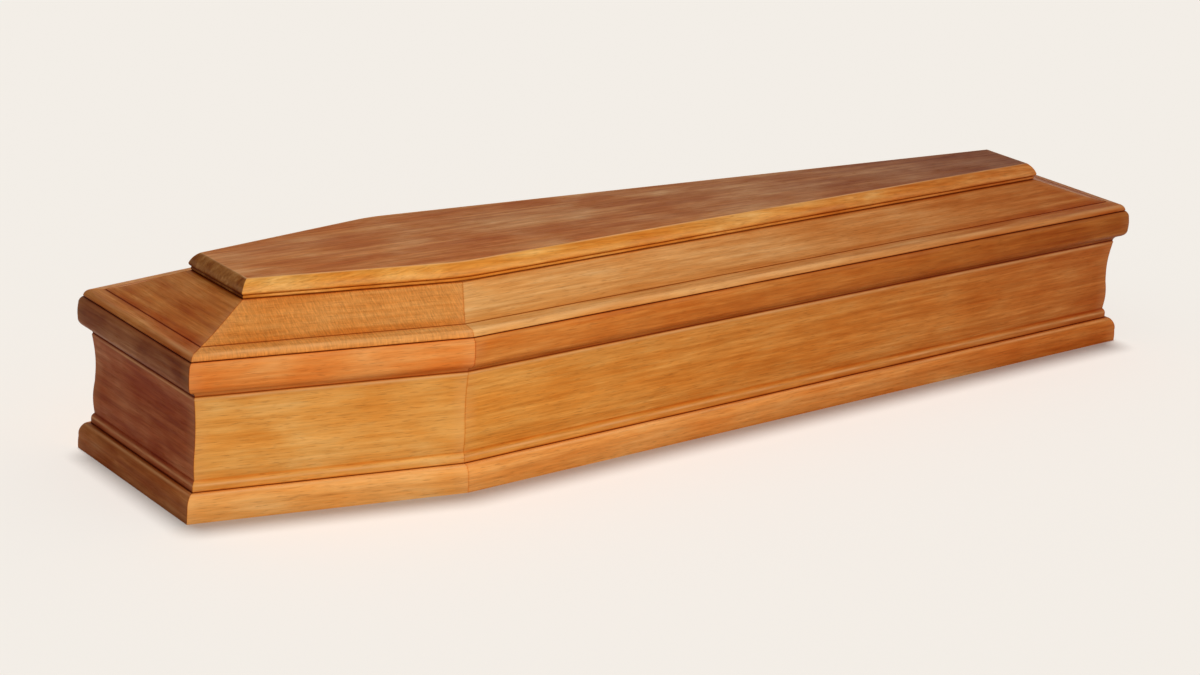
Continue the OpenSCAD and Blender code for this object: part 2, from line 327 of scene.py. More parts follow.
def board_profile(s):
    """Box board: bead and groove at the foot, then a swell, a hollow and a flare to the rim."""
    base, rim = s.base_thickness, s.base_thickness + RIM_BACK
    bead_edge = (-base, s.base_height + s.bead_height - 2 * MM)
    groove = groove_bottom(s)
    flare = (-base - 1 * MM, s.rim_low - FLARE)
    mid = (flare[0] - s.face_hollow + 2 * MM, groove[1] + (flare[1] - groove[1]) * 0.42)
    return np.vstack([
        [(-wall(s), 0), (-base, 0), bead_edge],
        arc(bead_edge, groove, 12 * MM, 10),
        wave(groove, mid, 2.2 * MM),
        wave(mid, flare, -2.4 * MM),
        arc(flare, (-rim, s.rim_low), FLARE),
        [(-rim, s.box_height), (-wall(s), s.box_height)]])


def base_profile(s):
    """Base moulding: a face that swells slightly, then rounds over to a flat top."""
    round_from = (-0.5 * MM, s.base_height * 0.48)
    round_to = (-8.5 * MM, s.base_height - 1.2 * MM)
    return np.vstack([
        [(-s.base_thickness, 0), (0, 0)],
        arc((0, 0), round_from, 120 * MM),
        arc(round_from, round_to, 26 * MM, 14),
        [(-10.5 * MM, s.base_height), (-s.base_thickness, s.base_height)]])


def rim_profile(s):
    """Rim moulding: a small cove, a narrow flat underside and a full nose."""
    back = (-s.base_thickness - RIM_BACK, s.rim_low)
    cove = (-10.5 * MM, s.rim_low + COVE)
    under = (-7 * MM, cove[1] + 1 * MM)
    nose_low = (s.rim_out, s.rim_low + 24 * MM)
    nose_high = (s.rim_out - 0.5 * MM, s.box_height - 12 * MM)
    return np.vstack([
        [back], arc(back, cove, -13 * MM), [under],
        arc(under, nose_low, 15 * MM, 12),
        arc(nose_low, nose_high, 100 * MM, 10),
        arc(nose_high, (-EDGE_IN, s.box_height), 15 * MM, 12),
        [(back[0], s.box_height)]])


def lip_end(s):
    """(out, up) of the inner end of the lid's lip, where the slope starts."""
    return -EDGE_IN - s.lip_width, s.box_height + s.lip_height + LIP_RISE


def neck_width(s):
    """From the panel's top edge out to where the slopes end under its bead."""
    return s.bevel_width - s.nose_out - SEAT_IN


def slope_profile(s, edge):
    """Slope board: rounded lip, fine groove, slope to the panel, ledge and plain underside.

    The slope's height over its run t from 0 to 1 is a straight line, less a hollow that follows
    t (1 - t) (1 - t). That is deepest, at 4/27, a third of the way up.
    """
    lip_d, lip_z = lip_end(s)
    top_d = neck_width(s) - insets(s)[edge]
    inner_d = top_d - s.ledge
    fall = (s.panel_low - lip_z) / (lip_d - top_d)
    t = np.linspace(0, 1, 25)
    height = lip_z + (s.panel_low - lip_z) * t - s.slope_hollow * 27 / 4 * t * (1 - t)**2
    slope = np.stack([lip_d + (top_d - lip_d) * t, height], axis=1)
    lip_out = -EDGE_IN - 0.5 * MM
    lip_low = (lip_out, s.box_height + 1.5 * MM)
    return np.vstack([
        [(lip_out - 1.5 * MM, s.box_height), lip_low],
        arc(lip_low, (lip_out - 7.5 * MM, s.box_height + s.lip_height), 13 * MM, 12),
        [(lip_d + 1.6 * MM, lip_z - 0.4 * MM), (lip_d + 0.8 * MM, lip_z - 1.2 * MM)],
        slope,
        [(inner_d, s.panel_low), (inner_d, s.panel_low + s.ledge * fall - s.slope_thickness),
         (-wall(s), s.box_height)]])


def panel_moulding(s):
    """Open profile of the panel's edge, out from its top edge: bead, nose and swelling bevel."""
    foot = (neck_width(s) - 1.5 * MM, s.panel_low)
    neck = (foot[0], s.panel_low + s.neck_height)
    quirk = (s.bevel_width - 1.8 * MM, neck[1] + QUIRK_LIFT)
    nose = (s.bevel_width, quirk[1] + 4 * MM)
    return np.vstack([
        [foot], arc(foot, neck, s.neck_height * 0.54, 10), [quirk],
        arc(quirk, nose, 5 * MM), arc(nose, (0, s.panel_high), 36 * MM, 18)])


def box_quirks(s):
    """Where varnish gathers and shade is painted round the box, in its grooves, under the rim and at
    the lid's joint, as rows of out, up, reach and depth of colour.
    """
    groove = groove_bottom(s)
    return np.array([
        (-s.base_thickness, s.base_height, 1.8 * MM, 0.95),
        (groove[0], groove[1] - 1 * MM, 2.4 * MM, 0.42),
        (-s.base_thickness - RIM_BACK, s.rim_low, 1.8 * MM, 0.75),
        (-9 * MM, s.rim_low + COVE + 0.5 * MM, 1.8 * MM, 0.25),
        (-EDGE_IN - 1 * MM, s.box_height + 0.3 * MM, 1.6 * MM, 1.0)])


def slope_quirks(s, edge):
    """Where varnish gathers and shade is painted on the lid's slopes, in rows like the box's."""
    lip_d, lip_z = lip_end(s)
    return np.array([
        (-EDGE_IN - 1 * MM, s.box_height + 0.3 * MM, 1.6 * MM, 1.0),
        (lip_d + 0.8 * MM, lip_z - 1 * MM, 2.0 * MM, 0.85),
        (lip_d - 4 * MM, lip_z, 8 * MM, 0.26),
        (neck_width(s) - insets(s)[edge], s.panel_low, 2.6 * MM, 0.8)])


def box_wear_and_highlights(s):
    """Where the box's mouldings are rubbed pale and painted with highlights on their proud edges, in
    rows of out, up, reach and strength.
    """
    return np.array([
        (-8 * MM, s.base_height - 1.4 * MM, 2.4 * MM, 0.6),
        (-s.base_thickness - 0.4 * MM, s.base_height + s.bead_height, 2.2 * MM, 0.7),
        (-s.base_thickness - 1 * MM, s.rim_low - 4 * MM, 2.6 * MM, 0.8),
        (-2 * MM, s.box_height - 4 * MM, 3.0 * MM, 0.1)])


def slope_wear_and_highlights(s):
    """Where the lip is rubbed pale and painted with a highlight, in rows like the box's."""
    return np.array([(-EDGE_IN - 5 * MM, s.box_height + s.lip_height - 1 * MM, 4.0 * MM, 0.6)])


def panel_wear_and_highlights(s):
    """Where the panel's edge is rubbed pale and painted with highlights, measured out from its top
    edge.
    """
    return np.array([
        (0.0, s.panel_high, 1.4 * MM, 0.9),
        (s.bevel_width - 2 * MM, s.panel_low + s.neck_height + 8 * MM, 4.0 * MM, 0.25)])


def panel_quirks(s):
    """Where varnish gathers and shade is painted round the panel's edge, under its nose and bead,
    measured out from its top edge.
    """
    return np.array([
        (neck_width(s) - 1 * MM, s.panel_low, 2.0 * MM, 0.8),
        (s.bevel_width - 3 * MM, s.panel_low + s.neck_height + QUIRK_LIFT, 2.2 * MM, 1.0)])


# ---- meshes ----


def ring_normals(profile):
    """Unit outward normal at each point of a closed profile that runs anticlockwise."""
    along = np.roll(profile, -1, axis=0) - np.roll(profile, 1, axis=0)
    along /= np.linalg.norm(along, axis=1, keepdims=True)
    return np.stack([along[:, 1], -along[:, 0]], axis=1)


def bells(profile, spots):
    """Mask from 0 to 1 at each profile point: the highest of the bells round the spots.

    A spot is a row of out, up, reach and strength. Its bell is strength exp(-(distance / reach)^2).
    """
    apart = np.linalg.norm(profile[:, None] - spots[None, :, :2], axis=2)
    return (spots[:, 3] * np.exp(-(apart / spots[:, 2])**2)).max(axis=1)


def ripple(along, across, seed):
    """A planed face's slow waviness from 0 to 1: three sine waves of unlike lengths."""
    phase = seed * 2.4
    waves = (np.sin(along * 19 + phase) + np.sin(along * 41 + across * 60 + phase * 1.7)
             + np.sin(along * 7 - across * 35 + phase * 0.6))
    return waves / 6 + 0.5


def stations(length, s):
    """Shares of a run's length at which its rings stand: close at the mitres, even between."""
    near = np.array([0, s.ease, 3 * s.ease, 8 * s.ease]) / length
    middle = np.linspace(near[-1], 1 - near[-1], max(4, round(length / s.mesh_step)))
    return np.concatenate([near[:-1], middle, 1 - near[:-1][::-1]])


def write_mesh(name, points, faces, masks, tone, grain):
    """A mesh object from arrays, its faces outwards, with masks and tone as point attributes."""
    mesh = bpy.data.meshes.new(name)
    mesh.from_pydata(points, [], faces)
    mesh.update()
    first = np.array([face[:3] for face in faces])
    a, b, c = (points[first[:, k]] for k in range(3))
    centre = points.mean(axis=0)
    if np.einsum("ij,ij->i", a - centre, np.cross(b - centre, c - centre)).sum() < 0:
        mesh.flip_normals()
    vectors = mesh.attributes.new("grain_position", "FLOAT_VECTOR", "POINT")
    vectors.data.foreach_set("vector", grain.astype(np.float32).ravel())
    colours = mesh.attributes.new("tone", "FLOAT_COLOR", "POINT")
    rgba = np.column_stack([tone.reshape(-1, 3), np.ones(len(points))])
    colours.data.foreach_set("color", rgba.astype(np.float32).ravel())
    for label, values in masks.items():
        layer = mesh.attributes.new(label, "FLOAT", "POINT")
        layer.data.foreach_set("value", values.astype(np.float32).ravel())
    mesh.shade_smooth()
    mesh.set_sharp_from_angle(angle=math.radians(20))
    piece = bpy.data.objects.new(name, mesh)
    bpy.context.scene.collection.objects.link(piece)
    return piece


def tube_faces(rings, ring):
    """Quads between neighbouring rings of points, and one flat face over each end."""
    i = np.arange(rings - 1)[:, None] * ring
    k = np.arange(ring)[None, :]
    after = (k + 1) % ring
    quads = np.stack([i + k, i + after, i + ring + after, i + ring + k], axis=-1).reshape(-1, 4)
    last = (rings - 1) * ring + np.arange(ring)
    return quads.tolist() + [np.arange(ring)[::-1].tolist(), last.tolist()]


def mitred_run(s, name, edge, profile, quirks, wear_and_highlights, ends, tones, seed, undercut=0.0):
    """A profile carried along one edge of the coffin between its two mitres.

    Each profile point runs straight from its place on the first mitre to its place on the second.
    The ring at each mitre is drawn in by the ease, so that the joint shows as a fine groove. With
    an undercut, a further ring at each end lies that far behind the mitre, as a joiner hollows
    the cut to close its edge. The face is let in by up to the waviness, and never stands proud of
    the true shape. The tone runs from one colour at the coffin's head to another at its foot, darker
    at the foot partly as painted shade of the light falling off, and deepens down the face as
    painted shade.
    """
    profile = refined(profile, np.vstack([quirks, wear_and_highlights]))
    start, end = ends[0](profile[:, 0]), ends[1](profile[:, 0])
    corners = plinth_corners(s)
    way, normal = edge_ways(corners)[edge], edge_normals(corners)[edge]
    length = np.linalg.norm(end - start, axis=1).mean()
    share = stations(length, s)
    plan = start[None] + (end - start)[None] * share[:, None, None]
    out = np.broadcast_to(profile[:, 0], plan.shape[:2])
    up = np.broadcast_to(profile[:, 1], plan.shape[:2])
    along = (plan - (corners[edge] + corners[(edge + 1) % 6]) / 2) @ way
    from_end = np.minimum(share, 1 - share)[:, None] * length
    shown = np.clip((up - TRUE_FOOT) / WAVE_RISE, 0, 1)
    pull = s.ease * (from_end < s.ease / 2) + s.waviness * ripple(along, up, seed) * shown
    turn = ring_normals(profile)
    shift = -pull[..., None] * turn
    points = np.concatenate([plan + shift[..., :1] * normal, up[..., None] + shift[..., 1:]], axis=2)
    in_mitre = np.exp(-(from_end / MITRE_LINE)**2)
    beside_mitre = np.exp(-((from_end - MITRE_WEAR_SHINE_AT) / MITRE_WEAR_SHINE_REACH)**2)
    # Hollow: gathered varnish and painted shade in the profile's recesses, with the dark line at each
    # mitre.
    hollow = np.maximum(bells(profile, quirks), MITRE_DARK * in_mitre)
    at_head, at_foot, down = np.array(tones[0]), np.array(tones[1]), tones[2]
    low, high = profile[:, 1].min(), profile[:, 1].max()
    masks = {"hollow": hollow,
             # Proud: rubbed edges and painted highlights along proud edges and beside each mitre.
             "proud": np.maximum(bells(profile, wear_and_highlights), MITRE_WEAR_SHINE * beside_mitre) * (1 - hollow),
             # Painted shade: depth deepens the tone towards the bottom of the face.
             "depth": down * ((high - up) / (high - low) - 0.5)}
    # Painted shade: the tone darkens towards the foot partly to stand in for the light falling off
    # there.
    tone = at_head + (at_foot - at_head) * (plan[..., :1] / s.length + 0.5)
    grain = np.stack([along, out, up], axis=-1) + seed * GRAIN_STEP
    if undercut:
        behind = np.append(way, 0.0) * undercut
        inwards = -UNDERCUT_IN * np.column_stack([turn[:, :1] * normal, turn[:, 1:]])
        points = np.concatenate([points[:1] + behind + inwards, points,
                                 points[-1:] - behind + inwards])
        masks = {label: undercut_rings(values) for label, values in masks.items()}
        tone, grain = undercut_rings(tone), undercut_rings(grain)
    rings, ring = points.shape[:2]
    return write_mesh(name, points.reshape(-1, 3), tube_faces(rings, ring), masks, tone,
                      grain.reshape(-1, 3))


def undercut_rings(values):
    """Values on rings of points, with the first and last ring repeated for the undercut mitres."""
    return np.concatenate([values[:1], values, values[-1:]])


def settle(piece, node, material):
    """The piece takes a material and stands for its CAD node, on the one body."""
    piece.data.materials.append(material)
    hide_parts(node)
    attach(piece, "root")


# ---- materials ----


class Nodes:
    """Short ways to add shader nodes to one tree."""

    def __init__(self, tree):
        self.tree = tree

    def add(self, kind, inputs=(), **settings):
        """A node of a kind. inputs pairs each socket's name or number with a value or a socket."""
        node = self.tree.nodes.new(kind)
        for key, value in settings.items():
            setattr(node, key, value)
        for key, value in dict(inputs).items():
            if isinstance(value, bpy.types.NodeSocket):
                self.tree.links.new(value, node.inputs[key])
            else:
                node.inputs[key].default_value = value
        return node

    def maths(self, operation, a, b=0.0, c=0.0, clamp=False):
        """The result socket of a Math node."""
        return self.add("ShaderNodeMath", {0: a, 1: b, 2: c}, operation=operation,
                        use_clamp=clamp).outputs[0]

    def ramp(self, value, low, high, to_low=0.0, to_high=1.0):
        """A value carried smoothly from one range to another."""
        return self.add("ShaderNodeMapRange", {"Value": value, "From Min": low, "From Max": high,
                                               "To Min": to_low, "To Max": to_high},
                        interpolation_type="SMOOTHSTEP").outputs[0]

    def swing(self, value):
        """A noise from about 0.3 to 0.7 carried to the range from -1 to 1."""
        return self.add("ShaderNodeMapRange", {"Value": value, "From Min": 0.3, "From Max": 0.7,
                                               "To Min": -1.0, "To Max": 1.0}).outputs[0]

    def stretched(self, vector, scale):
        """A vector multiplied by a scale along each of its axes."""
        return self.add("ShaderNodeVectorMath", {0: vector, 1: scale},
                        operation="MULTIPLY").outputs[0]

    def noise(self, vector, detail=2.0, rough=0.5, distortion=0.0):
        """Noise from about 0 to 1 over a vector that is already scaled."""
        return self.add("ShaderNodeTexNoise", {"Vector": vector, "Scale": 1.0, "Detail": detail,
                                               "Roughness": rough, "Distortion": distortion},
                        normalize=True).outputs["Fac"]

    def blend(self, share, a, b):
        """A colour mixed from a to b."""
        node = self.add("ShaderNodeMix", {0: share, 6: a, 7: b}, data_type="RGBA")
        return node.outputs[2]


def opaque(colour):
    """A colour property with an alpha of 1."""
    return (*colour, 1.0)


def new_group(name, inputs, outputs):
    """An empty shader group with named sockets; returns it with its input and output nodes."""
    group = bpy.data.node_groups.new(name, "ShaderNodeTree")
    for label, kind, default in inputs:
        socket = group.interface.new_socket(label, in_out="INPUT", socket_type=kind)
        if default is not None:
            socket.default_value = default
    for label, kind in outputs:
        group.interface.new_socket(label, in_out="OUTPUT", socket_type=kind)
    return group, group.nodes.new("NodeGroupInput"), group.nodes.new("NodeGroupOutput")


# Waves to the metre of each noise in the grain: along it, then across it both ways.
RIBBONS = (3.2, 34, 34)
STREAKS = (5.0, 115, 115)
FIBRES = (18, 330, 330)
DASHES = (48, 560, 560)
PATCHES = (6.5, 15, 15)
FLECKS = (360, 55, 55)


def varnished_grain():
    """Shader group: colour, roughness and height of varnished, open-grained wood.

    Position runs along the grain in X and across it in Y and Z. Noises stretched along the grain
    give ribbons, streaks, fibres and pores, and a rounder one gives patches. Thicker varnish raises
    the wood's tone to a power above 1, which makes it deeper and redder, and thinner varnish to a
    power below 1. Fibres and flecks scale its brightness. Depth also brings in painted shade lower
    down a face. Hollow deepens the tone and mixes in the joint colour, both for gathered varnish and
    for painted shade in recesses. Proud mixes in the rub colour, for rubbed edges and for painted
    highlights.
    """
    value, colour = "NodeSocketFloat", "NodeSocketColor"
    group, given, out = new_group("varnished_grain", [
        ("Position", "NodeSocketVector", None), ("Tone", colour, None), ("Depth", value, 0.0),
        ("Hollow", value, 0.0), ("Proud", value, 0.0), ("Pore", colour, None),
        ("Joint_and_shade", colour, None), ("Rub_and_highlight", colour, None), ("Streaks", value, 1.0),
        ("Pores", value, 0.5), ("Fleck", value, 0.0), ("Blotches", value, 0.12)],
        [("Color", colour), ("Roughness", value), ("Height", value)])
    n = Nodes(group)
    at = given.outputs
    ribbons = n.swing(n.noise(n.stretched(at["Position"], RIBBONS), 4.0, 0.65, 0.6))
    streaks = n.swing(n.noise(n.stretched(at["Position"], STREAKS), 3.0, 0.6))
    fibres = n.swing(n.noise(n.stretched(at["Position"], FIBRES), 2.0, 0.6))
    dashes = n.noise(n.stretched(at["Position"], DASHES), 1.0, 0.5)
    patches = n.swing(n.noise(n.stretched(at["Position"], PATCHES), 3.0, 0.55, 0.3))
    flecks = n.swing(n.noise(n.stretched(at["Position"], FLECKS), 2.0, 0.6, 0.6))
    pores = n.ramp(dashes, 0.56, 0.76)
    lines = n.maths("MULTIPLY_ADD", streaks, 0.11, n.maths("MULTIPLY", ribbons, 0.12))
    # The piece's Depth brings in painted shade lower down its face.
    depth = n.maths("MULTIPLY_ADD", lines, at["Streaks"], at["Depth"])
    depth = n.maths("MULTIPLY_ADD", patches, at["Blotches"], depth)
    # Hollow deepens the tone, for gathered varnish and painted shade in recesses.
    depth = n.maths("MULTIPLY_ADD", at["Hollow"], 0.9, depth)
    tone = n.add("ShaderNodeGamma", {"Color": at["Tone"],
                                     "Gamma": n.maths("ADD", depth, 1.0)}).outputs[0]
    threads = n.maths("MULTIPLY_ADD", fibres, 0.11, n.maths("MULTIPLY", streaks, -0.07))
    shade = n.maths("MULTIPLY_ADD", threads, at["Streaks"], 1.0)
    shade = n.maths("MULTIPLY_ADD", flecks, at["Fleck"], shade)
    tone = n.add("ShaderNodeVectorMath", {0: tone, "Scale": shade}, operation="SCALE").outputs[0]
    tone = n.blend(n.maths("MULTIPLY", pores, at["Pores"]), tone, at["Pore"])
    # Proud mixes in the rub colour, for rubbed edges and painted highlights.
    rubbed = n.maths("MULTIPLY", at["Proud"], n.ramp(patches, -0.7, 0.6, 0.2, 0.75))
    tone = n.blend(rubbed, tone, at["Rub_and_highlight"])
    # The joint colour over the hollows: gathered varnish and painted shade.
    tone = n.blend(n.ramp(at["Hollow"], 0.25, 1.0, 0.0, 0.85), tone, at["Joint_and_shade"])
    rough = n.maths("MULTIPLY_ADD", pores, 0.2, n.ramp(patches, -1.0, 1.0, 0.40, 0.50))
    rough = n.maths("MULTIPLY_ADD", at["Hollow"], 0.2, rough, clamp=True)
    height = n.maths("MULTIPLY_ADD", pores, -0.8, n.maths("MULTIPLY", fibres, 0.25))
    group.links.new(tone, out.inputs["Color"])
    group.links.new(rough, out.inputs["Roughness"])
    group.links.new(height, out.inputs["Height"])
    return group


def grain_group():
    """The one varnished grain group, built the first time that a material asks for it."""
    return bpy.data.node_groups.get("varnished_grain") or varnished_grain()


SHEEN = 0.04             # specular level of the varnish, low so that dark wood stays dark
BUMP_STRENGTH = 0.3      # how strongly pores and fibres show in the light
BUMP_DEPTH = 0.4 * MM    # and their depth


def wood_material(c, name, streaks=1.0, fleck=0.0, blotches=0.12):
    """Varnished wood. It reads the piece's own grain position, tone, depth and edge masks."""
    known = bpy.data.materials.get(name)
    if known:
        return known
    material = bpy.data.materials.new(name)
    material.use_nodes = True
    n = Nodes(material.node_tree)
    shader = material.node_tree.nodes["Principled BSDF"]
    read = {label: n.add("ShaderNodeAttribute", attribute_name=label)
            for label in ("grain_position", "tone", "depth", "hollow", "proud")}
    wood = n.add("ShaderNodeGroup", node_tree=grain_group())
    links = material.node_tree.links
    links.new(read["grain_position"].outputs["Vector"], wood.inputs["Position"])
    links.new(read["tone"].outputs["Color"], wood.inputs["Tone"])
    for label in ("Depth", "Hollow", "Proud"):
        links.new(read[label.lower()].outputs["Fac"], wood.inputs[label])
    for label, tone in {"Pore": c.pore, "Joint_and_shade": c.joint_and_shade, "Rub_and_highlight": c.rub_and_highlight}.items():
        wood.inputs[label].default_value = opaque(tone)
    amounts = {"Streaks": c.streaks * streaks, "Pores": c.pores, "Fleck": fleck,
               "Blotches": blotches}
    for label, amount in amounts.items():
        wood.inputs[label].default_value = amount
    bump = n.add("ShaderNodeBump", {"Strength": BUMP_STRENGTH, "Distance": BUMP_DEPTH,
                                    "Height": wood.outputs["Height"]})
    links.new(wood.outputs["Color"], shader.inputs["Base Color"])
    links.new(wood.outputs["Roughness"], shader.inputs["Roughness"])
    links.new(bump.outputs["Normal"], shader.inputs["Normal"])
    shader.inputs["Specular IOR Level"].default_value = SHEEN
    return material


def side_wood(c):
    """Red-brown boards of the long sides."""
    return wood_material(c, "varnished_long_sides")


def short_side_wood(c):
    """Lighter, more yellow boards between the head and the shoulders."""
    return wood_material(c, "varnished_short_sides", streaks=0.8, blotches=0.2)


def fleck_wood(c):
    """The short slopes' wood, with fine flecks across the grain."""
    return wood_material(c, "varnished_flecked", streaks=0.6, fleck=0.2)


def end_wood(c):
    """Boards of the two ends, their darker tones partly painted shade."""
    return wood_material(c, "varnished_ends", streaks=1.1, blotches=0.26)


def panel_wood(c):
    """The top panel's wood with strong streaks; its darker tone on the top is partly painted shade."""
    return wood_material(c, "varnished_panel", streaks=1.2, blotches=0.22)


def plain_wood(c):
    """Bare, unvarnished wood of the bottom board."""
    return wood_material(c, "bare_bottom", streaks=0.6)


def wood_for(c, edge_name):
    """The material for the boards and mouldings on one edge."""
    if edge_name.startswith("shoulder"):
        return short_side_wood(c)
    if edge_name.startswith("side"):
        return side_wood(c)
    return end_wood(c)


# ---- operators: the pieces ----


def build_runs(context, nodes, profile_of, quirks_of, wear_and_highlights_of, kind, down, seed, hips=False):
    """One mitred run for each of the six edges, standing for the CAD nodes in the same order.

    The tones are the colours named short, long and end for this kind of piece. A long one has a
    second tone for its foot end, and down says how much deeper the tone is at the foot of the face,
    as painted shade.
    """
    s, c = context.scene.coffin_sizes, context.scene.coffin_colours
    corners = plinth_corners(s)
    for edge, (node, edge_name) in enumerate(zip(nodes, EDGES)):
        if hips:
            ends = [lambda out, i=i, e=edge: hip_points(s, corners, i, e, out)
                    for i in (edge, edge + 1)]
        else:
            ends = [lambda out, i=i: moved_corner(corners, i, out, out) for i in (edge, edge + 1)]
        part = edge_name.split("_")[0]
        at_head = getattr(c, LENGTHS[part] + "_" + kind)
        at_foot = getattr(c, LENGTHS[part] + "_" + kind + "_foot", at_head)
        piece = mitred_run(s, "varnished_" + node, edge, profile_of(s, edge), quirks_of(s, edge),
                           wear_and_highlights_of(s), ends, (at_head, at_foot, down), seed + edge,
                           UNDERCUT if hips else 0.0)
        flecked = kind == "slope" and part == "shoulder"
        settle(piece, node, fleck_wood(c) if flecked else wood_for(c, edge_name))


def hip_points(s, corners, i, edge, out):
    """Plan of the lid's mitre at corner i for points of the slope on an edge.

    Under the lip it keeps the plinth's own mitre, up the slope it runs straight to the panel's
    corner, and under the panel it keeps the panel's mitre.
    """
    lip_d = lip_end(s)[0]
    top_d = neck_width(s) - insets(s)[edge]
    lip_part = moved_corner(corners, i, np.maximum(out, lip_d), np.maximum(out, lip_d))
    share = np.clip((lip_d - out) / (lip_d - top_d), 0, 1)[:, None]
    low = moved_corner(corners, i, lip_d, lip_d)
    high = panel_corner(s, corners, i, neck_width(s))
    under = panel_corner(s, corners, i, neck_width(s) + np.minimum(out - top_d, 0))
    return lip_part + (high - low) * share + (under - high)


class COFFIN_OT_boards(Operator):
    """Build the six mitred box boards with their beaded and hollowed faces"""

    bl_idname = "coffin.boards"
    bl_label = "Box boards"

    def execute(self, context):
        build_runs(context, BOARDS, lambda s, edge: board_profile(s),
                   lambda s, edge: box_quirks(s), box_wear_and_highlights, "board", down=0.0, seed=1)
        return {"FINISHED"}


class COFFIN_OT_base_mouldings(Operator):
    """Build the base moulding that runs round the foot of the box"""

    bl_idname = "coffin.base_mouldings"
    bl_label = "Base mouldings"

    def execute(self, context):
        nodes = ["base_moulding_" + name for name in EDGES]
        build_runs(context, nodes, lambda s, edge: base_profile(s),
                   lambda s, edge: box_quirks(s), box_wear_and_highlights, "base", down=0.05, seed=11)
        return {"FINISHED"}


class COFFIN_OT_rim_mouldings(Operator):
    """Build the full-nosed moulding that runs round the top of the box"""

    bl_idname = "coffin.rim_mouldings"
    bl_label = "Rim mouldings"

    def execute(self, context):
        nodes = ["rim_moulding_" + name for name in EDGES]
        # down paints shade on the lower half of the rim's face.
        build_runs(context, nodes, lambda s, edge: rim_profile(s),
                   lambda s, edge: box_quirks(s), box_wear_and_highlights, "rim", down=0.1, seed=21)
        return {"FINISHED"}


class COFFIN_OT_lid_slopes(Operator):
    """Build the lid's six slope boards with their rounded lip"""

    bl_idname = "coffin.lid_slopes"
    bl_label = "Lid slopes"

    def execute(self, context):
        nodes = ["lid_slope_" + name for name in EDGES]
        build_runs(context, nodes, slope_profile, slope_quirks, slope_wear_and_highlights, "slope", down=0.0,
                   seed=31, hips=True)
        return {"FINISHED"}


PANEL_RINGS = np.array([-18.0, -9.0, -4.0, -1.5]) * MM    # rings inside the panel's top edge
PANEL_GRAIN = np.array([7.3, 2.9, 1.7])    # where in the grain the panel is cut
BOTTOM_GRAIN = 5.1                         # and the bottom board


def panel_outline(s):
    """Round the panel's top edge: points, the ways they move out by one, and which are on an end.

    The four end corners are sharp. The shoulders are eased by an arc that touches both edges, and
    each straight stretch has a point every mesh step and one close to each of its ends.
    """
    corners = np.array([panel_corner(s, plinth_corners(s), i, 0.0) for i in range(6)])
    normals = edge_normals(corners)
    points, directions, on_end = [], [], []
    for i in range(6):
        m, n = normals[i - 1], normals[i]
        if i in (RIGHT_SHOULDER, LEFT_SHOULDER):
            turn = math.acos(float(m @ n))
            back = s.bend_radius * math.tan(turn / 2)
            centre = corners[i] - edge_ways(corners)[i - 1] * back - m * s.bend_radius
            angle = math.atan2(m[1], m[0]) + turn * np.linspace(0, 1, 9)
            rays = np.stack([np.cos(angle), np.sin(angle)], axis=1)
            points.append(centre + s.bend_radius * rays)
            directions.append(rays)
        else:
            points.append(corners[i][None])
            directions.append(((m + n) / (1 + m @ n))[None])
    for i in range(6):
        start, end = points[i][-1], points[(i + 1) % 6][0]
        length = float(np.linalg.norm(end - start))
        count = round(length / s.mesh_step)
        near = 1.5 * MM / length
        share = np.concatenate([[near], np.arange(1, count) / count, [1 - near]])[:, None]
        along = np.vstack([directions[i][-1:], np.repeat(normals[i][None], count - 1, axis=0),
                           directions[(i + 1) % 6][:1]])
        on_end.append(np.arange(len(points[i]) + count + 1) >= len(points[i]))
        on_end[i] &= EDGES[i] in ("foot", "head")
        points[i] = np.vstack([points[i], start + (end - start) * share])
        directions[i] = np.vstack([directions[i], along])
    return np.vstack(points), np.vstack(directions), np.concatenate(on_end)


class COFFIN_OT_top_panel(Operator):
    """Build the lid's flat top panel with its bead, nose and bevel"""

    bl_idname = "coffin.top_panel"
    bl_label = "Top panel"

    def execute(self, context):
        s, c = context.scene.coffin_sizes, context.scene.coffin_colours
        edge = panel_moulding(s)
        low = np.stack([PANEL_RINGS, np.full(len(PANEL_RINGS), s.panel_low)], axis=1)
        high = np.stack([PANEL_RINGS[::-1], np.full(len(PANEL_RINGS), s.panel_high)], axis=1)
        profile = np.vstack([low, edge, high])
        points, directions, on_end = panel_outline(s)
        plan = points[None] + directions[None] * profile[:, 0][:, None, None]
        up = np.broadcast_to(profile[:, 1][:, None], plan.shape[:2])
        verts = np.concatenate([plan, up[..., None]], axis=2)
        # Gathered varnish and painted shade under the panel's nose and bead.
        hollow = bells(profile, panel_quirks(s))
        # Rubbing and painted highlights on the panel's top arris and nose.
        worn_and_lit = bells(profile, panel_wear_and_highlights(s))
        around = np.ones(plan.shape[1])
        # Painted shade: the panel's tone darkens towards the foot partly to stand in for the light
        # falling off there.
        to_foot = (plan[..., :1] / s.length + 0.5)**2
        tone = np.array(c.panel) + (np.array(c.panel_foot) - np.array(c.panel)) * to_foot
        bevel = np.array(c.bevel) + (np.array(c.bevel_foot) - np.array(c.bevel)) * to_foot
        # Painted shade: the panel's end edges take the darker end bevel tone, partly standing in for
        # their shade.
        bevel = np.where(on_end[None, :, None], np.array(c.end_bevel), bevel)
        # Painted light and shade: the bead, nose and bevel take the lighter bevel tone, the flat top
        # the darker panel tone.
        tone = np.where(profile[:, :1, None] > -MM, bevel, tone)
        masks = {"hollow": hollow[:, None] * around, "proud": worn_and_lit[:, None] * around,
                 "depth": np.zeros(plan.shape[:2])}
        grain = verts + PANEL_GRAIN
        rings, ring = plan.shape[:2]
        piece = write_mesh("varnished_lid_top_panel", verts.reshape(-1, 3), tube_faces(rings, ring),
                           masks, tone, grain.reshape(-1, 3))
        settle(piece, "lid_top_panel", panel_wood(c))
        return {"FINISHED"}


